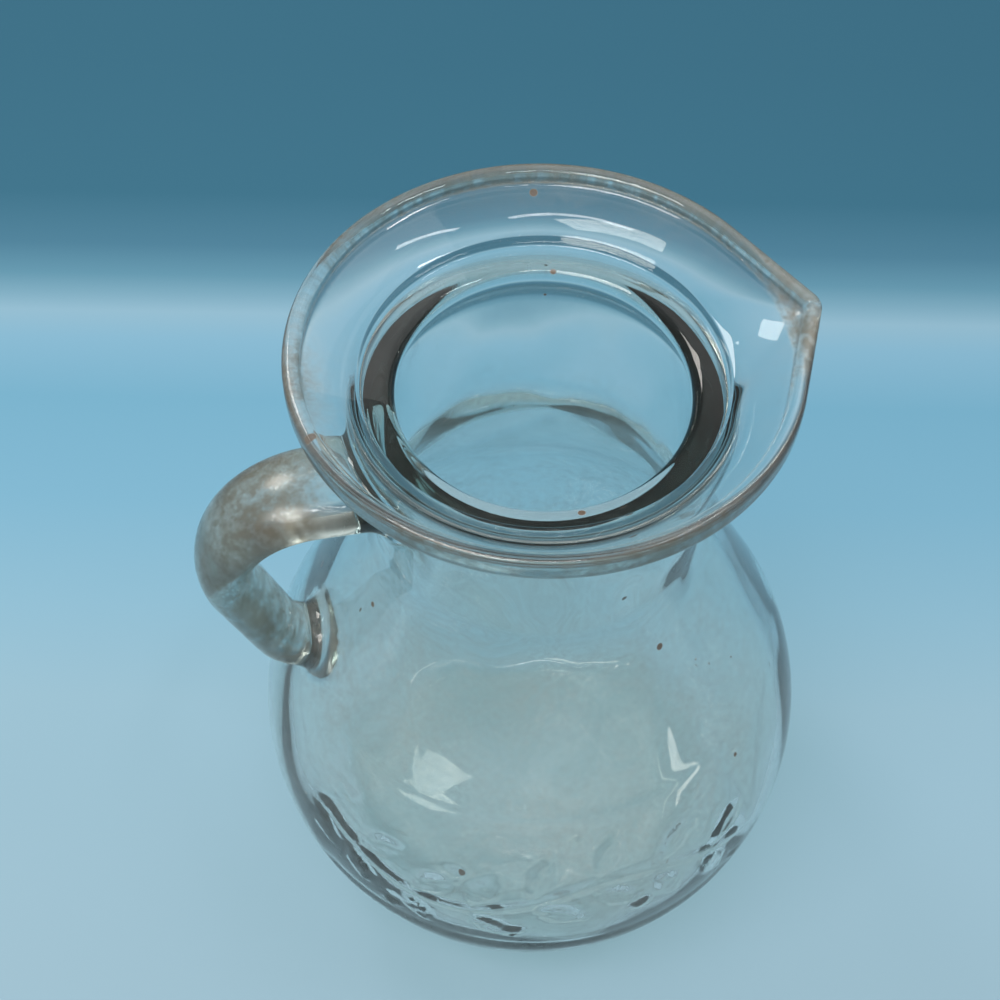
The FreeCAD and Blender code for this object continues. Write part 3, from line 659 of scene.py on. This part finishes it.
def glass_material():
    """Clear glass with a green tint in its depth, under a dry film with specks; the film's brown
    on the rim's outer band is painted shade.
    """
    material = bpy.data.materials.new("clear_glass")
    material.use_nodes = True
    tree = material.node_tree
    tree.nodes.clear()
    link = tree.links.new
    output = node(tree, "ShaderNodeOutputMaterial")
    glass = node(tree, "ShaderNodeBsdfPrincipled")
    glass.inputs["IOR"].default_value = GLASS_IOR
    place = node(tree, "ShaderNodeTexCoord").outputs["Object"]
    film_and_shade, speck = film_and_shade_mask(tree, place), speck_mask(tree, place)
    hidden = math_node(tree, "MAXIMUM", film_and_shade, math_node(tree, "MULTIPLY", speck, SPECK_COVER))
    link(math_node(tree, "SUBTRACT", 1.0, hidden), glass.inputs["Transmission Weight"])
    link(ranged(tree, film_and_shade, *FILM_TO_ROUGHNESS), glass.inputs["Roughness"])
    # the film's brown, which is painted shade on the rim's outer band
    shade = node(tree, "ShaderNodeMix", data_type="RGBA")
    shade.inputs[6].default_value = GLASS_COLOUR
    shade.inputs[7].default_value = FILM_AND_SHADE_COLOUR
    link(ranged(tree, film_and_shade, *FILM_AND_SHADE_TO_COLOUR), shade.inputs[0])
    dark = node(tree, "ShaderNodeMix", data_type="RGBA")
    dark.inputs[7].default_value = SPECK_COLOUR
    link(speck, dark.inputs[0])
    link(shade.outputs[2], dark.inputs[6])
    link(dark.outputs[2], glass.inputs["Base Color"])
    clear = node(tree, "ShaderNodeBsdfTransparent")
    clear.inputs["Color"].default_value = SHADOW_COLOUR
    path = node(tree, "ShaderNodeLightPath")
    mix = node(tree, "ShaderNodeMixShader")
    straight = math_node(tree, "MAXIMUM", path.outputs["Is Shadow Ray"],
                         path.outputs["Is Diffuse Ray"])
    link(straight, mix.inputs[0])
    link(glass.outputs[0], mix.inputs[1])
    link(clear.outputs[0], mix.inputs[2])
    link(mix.outputs[0], output.inputs["Surface"])
    tint = node(tree, "ShaderNodeVolumeAbsorption")
    tint.inputs["Color"].default_value = TINT_COLOUR
    tint.inputs["Density"].default_value = TINT_DENSITY
    link(tint.outputs[0], output.inputs["Volume"])
    return material


def floor_material(ahead):
    """Pale blue round the pitcher, and the deeper blue of a backdrop beyond."""
    material = bpy.data.materials.new("pale_floor")
    material.use_nodes = True
    tree = material.node_tree
    shader = tree.nodes["Principled BSDF"]
    shader.inputs["Roughness"].default_value = FLOOR_ROUGHNESS
    shader.inputs["Specular IOR Level"].default_value = FLOOR_SPECULAR
    place = node(tree, "ShaderNodeNewGeometry").outputs["Position"]
    first, last = FLOOR_COLOURS[0][0], FLOOR_COLOURS[-1][0]
    along = ranged(tree, facing(tree, place, ahead), first, last, kind="LINEAR")
    colours = [((far - first) / (last - first), colour) for far, colour in FLOOR_COLOURS]
    tree.links.new(ramped(tree, along, colours), shader.inputs["Base Color"])
    return material


def build_floor(forward):
    """A flat floor whose colour changes with the distance ahead, as a backdrop's would."""
    ahead = Vector((forward.x, forward.y, 0)).normalized()
    side = Vector((ahead.y, -ahead.x, 0))
    drop = Vector((0, 0, -FLOOR_DROP))
    points = [tuple((ahead * far + side * across) * FLOOR_HALF + drop)
              for far, across in ((-1, -1), (-1, 1), (1, 1), (1, -1))]
    mesh = bpy.data.meshes.new("floor")
    mesh.from_pydata(points, [], [(0, 1, 2, 3)])
    obj = bpy.data.objects.new("floor", mesh)
    bpy.context.scene.collection.objects.link(obj)
    mesh.materials.append(floor_material(ahead))


def add_camera():
    """Looks down on the pitcher from in front, turned a little on its axis."""
    forward = Vector(CAMERA_WAY).normalized()
    camera = bpy.data.objects.new("camera", bpy.data.cameras.new("camera"))
    bpy.context.scene.collection.objects.link(camera)
    camera.data.sensor_width, camera.data.lens = SENSOR_WIDTH, LENS
    camera.data.clip_start, camera.data.clip_end = CLIP
    turn = forward.to_track_quat("-Z", "Y").to_matrix().to_4x4()
    turn = turn @ Matrix.Rotation(CAMERA_ROLL, 4, "Z")
    camera.matrix_world = Matrix.Translation(Vector(CAMERA_PLACE) * MM) @ turn
    bpy.context.scene.camera = camera
    return forward


def add_lamp(name, place, target, size, power, colour):
    lamp = bpy.data.lights.new(name, "AREA")
    lamp.shape, lamp.size, lamp.size_y = "RECTANGLE", *size
    lamp.energy, lamp.color = power, colour
    obj = bpy.data.objects.new(name, lamp)
    bpy.context.scene.collection.objects.link(obj)
    obj.location = place
    obj.rotation_euler = (Vector(target) - Vector(place)).to_track_quat("-Z", "Y").to_euler()


def build_world():
    """Soft grey room: dim near the floor, paler overhead, with a soft glow of light behind."""
    world = bpy.data.worlds.new("world")
    bpy.context.scene.world = world
    world.use_nodes = True
    world.cycles.sampling_method = "NONE"
    tree = world.node_tree
    link = tree.links.new
    way = node(tree, "ShaderNodeTexCoord").outputs["Generated"]
    split = node(tree, "ShaderNodeSeparateXYZ")
    link(way, split.inputs[0])
    room = tree.nodes["Background"]
    link(ramped(tree, split.outputs["Z"], ROOM_COLOURS), room.inputs["Color"])
    toward = facing(tree, way, Vector(GLOW_WAY).normalized())
    glow = node(tree, "ShaderNodeBackground")
    glow.inputs["Color"].default_value = GLOW_COLOUR
    link(ranged(tree, toward, *GLOW_RANGE, 0.0, GLOW_STRENGTH), glow.inputs["Strength"])
    both = node(tree, "ShaderNodeAddShader")
    link(room.outputs[0], both.inputs[0])
    link(glow.outputs[0], both.inputs[1])
    link(both.outputs[0], tree.nodes["World Output"].inputs["Surface"])


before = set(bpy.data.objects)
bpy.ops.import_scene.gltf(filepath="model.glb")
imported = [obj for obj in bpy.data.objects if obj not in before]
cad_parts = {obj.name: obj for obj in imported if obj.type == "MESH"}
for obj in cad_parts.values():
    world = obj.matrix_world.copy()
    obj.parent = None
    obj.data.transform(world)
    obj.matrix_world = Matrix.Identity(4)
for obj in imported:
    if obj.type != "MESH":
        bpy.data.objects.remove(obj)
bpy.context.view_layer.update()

pitcher = build_pitcher()
pitcher.data.materials.clear()
pitcher.data.materials.append(glass_material())
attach(pitcher, "root")
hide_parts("pitcher")

forward = add_camera()
build_floor(forward)
for name, values in LAMPS.items():
    add_lamp(name, *values)
build_world()
bpy.context.scene.cycles.max_bounces = LIGHT_BOUNCES
bpy.context.scene.cycles.transmission_bounces = LIGHT_BOUNCES
bpy.context.scene.view_settings.view_transform = "Standard"
